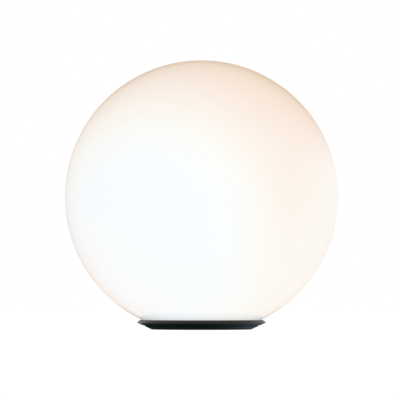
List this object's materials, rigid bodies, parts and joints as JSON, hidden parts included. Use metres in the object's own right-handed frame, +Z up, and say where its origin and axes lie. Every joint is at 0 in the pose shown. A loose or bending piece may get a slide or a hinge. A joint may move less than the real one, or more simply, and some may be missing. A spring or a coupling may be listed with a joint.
{
  "type": "garden globe light",
  "caption": "Glowing opal globe light on a shallow black saucer base, with a rechargeable light module inside and a push button and charging port underneath.",
  "frame": {"origin": "centre of the foot ring's underside, on the surface that the light stands on", "axes": "+Z up along the globe's axis, -Y towards the power button, +Y towards the charging port"},
  "size_m": [0.2999, 0.3, 0.2955],
  "materials": {
    "opal_globe": "polished opal",
    "white_plastic": "fine satin",
    "black_plastic": "satin moulded",
    "black_rim": "semi-gloss moulded",
    "foot_rubber": "matt",
    "rim_seal": "matt",
    "gasket_silicone": "matt",
    "ring_rubber": "greased",
    "screw_steel": "plated",
    "socket_plastic": "ribbed nylon",
    "socket_nut": "turned",
    "holder_plastic": "moulded",
    "cell_sleeve": "shrink sleeve",
    "nickel": "rolled",
    "foam": "cellular",
    "red_wire": "satin",
    "black_wire": "satin",
    "white_wire": "satin",
    "green_board": "lacquered",
    "white_board": "lacquered",
    "chip_black": "matt",
    "ferrite": "matt",
    "capacitor_can": "satin",
    "spreader_aluminium": "milled",
    "light_emitter": "phosphor",
    "frosted_dome": "frosted",
    "port_steel": "drawn",
    "door_silicone": "matt",
    "button_plastic": "soft touch",
    "clear_plastic": "polished",
    "status_emitter": "clear"
  },
  "bodies": {
    "base": {"foot_ring": "foot_rubber", "base_pan": "black_plastic", "rim_ring": "black_rim", "rim_seal": "rim_seal", "pan_screws": "screw_steel", "seat_gasket": "gasket_silicone", "housing_gasket": "gasket_silicone", "module_housing": "white_plastic", "collar_o_rings": "ring_rubber", "spike_socket": "socket_plastic", "socket_seal": "ring_rubber", "socket_nut": "socket_nut", "battery_holder": "holder_plastic", "battery_cells": "cell_sleeve", "cell_tabs": "nickel", "cell_pads": "foam", "battery_wire_plus": "red_wire", "battery_wire_minus": "black_wire", "control_board": "green_board", "board_chips": "chip_black", "board_inductor": "ferrite", "board_capacitors": "capacitor_can", "board_screws": "screw_steel", "heat_spreader": "spreader_aluminium", "light_board": "white_board", "lights": "light_emitter", "light_screws": "screw_steel", "light_wires": "white_wire", "dome_gasket": "gasket_silicone", "diffuser_dome": "frosted_dome", "dome_screws": "screw_steel", "port_shell": "port_steel", "port_tongue": "chip_black", "port_seal": "gasket_silicone", "port_board": "green_board", "port_board_screws": "screw_steel", "port_wires": "red_wire", "switch_body": "port_steel", "button_board": "green_board", "button_board_screws": "screw_steel", "button_wires": "white_wire", "status_light": "status_emitter", "light_pipe": "clear_plastic", "vent_plug": "door_silicone"},
    "globe": {"globe_shell": "opal_globe", "neck_collar": "white_plastic"},
    "charge_door": {"port_door": "door_silicone", "door_pin": "port_steel"},
    "button": {"power_button": "button_plastic", "switch_plunger": "chip_black"}
  },
  "joints": [
    {"name": "globe_lift", "type": "slide", "parent": "base", "child": "globe", "axis": [0, 0, 1], "range_m": [0, 0.07]},
    {"name": "charge_door_swing", "type": "hinge", "parent": "base", "child": "charge_door", "pos_m": [-0.00972, 0.0385, 0.0024], "axis": [0, 1, 0], "range_deg": [0, 110]},
    {"name": "power_button_press", "type": "slide", "parent": "base", "child": "button", "axis": [0, 0, 1], "range_m": [0, 0.0012], "stiffness_N_per_m": 500, "springref_m": -0.001}
  ]
}
